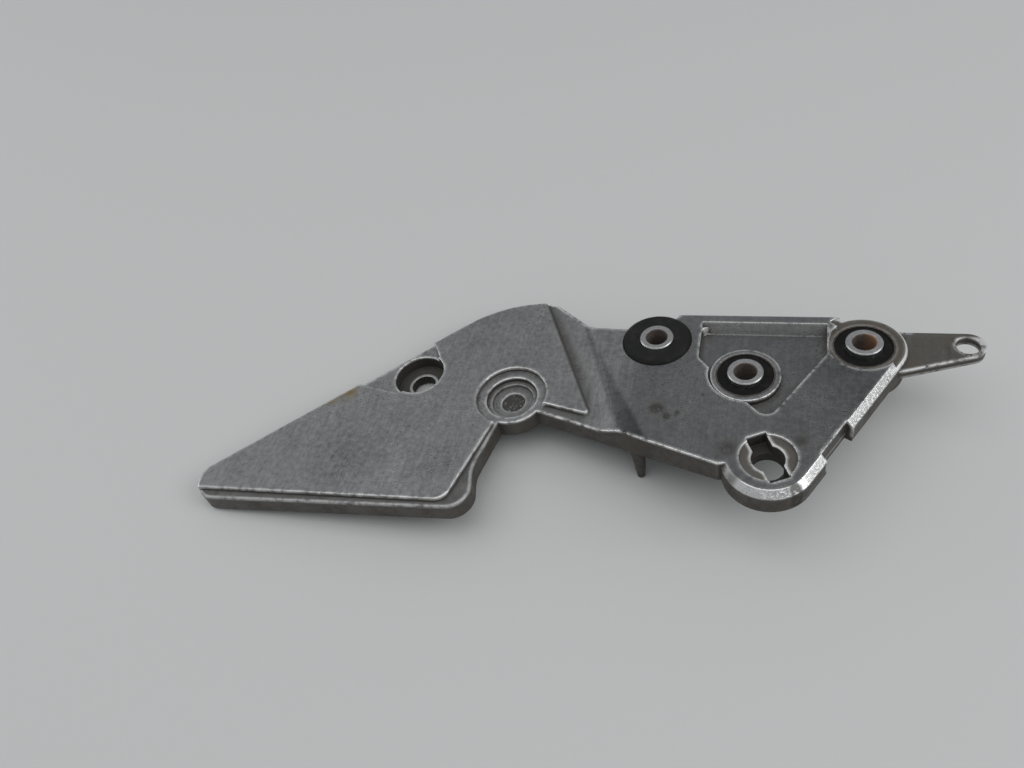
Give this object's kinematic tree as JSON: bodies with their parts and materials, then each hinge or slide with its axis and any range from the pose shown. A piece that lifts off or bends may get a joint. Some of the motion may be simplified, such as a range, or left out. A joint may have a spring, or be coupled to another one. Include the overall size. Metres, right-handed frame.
{
  "type": "motorcycle footrest hanger",
  "caption": "Cast aluminium footrest hanger with a raised heel guard panel, a pocketed mount plate with rubber bushes, a keyed footrest bore and a side tab.",
  "frame": {"origin": "on the axis of the keyed footrest bore, in the outer face of the mount plate", "axes": "+X along the far edge of the mount plate, from the heel guard towards the tab; +Y across the plate, from the footrest bore towards the bushes; +Z outward, away from the motorcycle"},
  "size_m": [0.2977, 0.1144, 0.0307],
  "materials": {
    "casting": "worn cast, dull and grimy",
    "rubber": "matt",
    "steel": "dull",
    "sleeve": "dull, lightly rusted"
  },
  "bodies": {
    "root": {"hanger": "casting", "rubber_1": "rubber", "rubber_2": "rubber", "rubber_3": "rubber", "collar_1": "steel", "collar_2": "steel", "collar_3": "steel", "sleeve_2": "sleeve", "sleeve_3": "sleeve"}
  },
  "joints": []
}
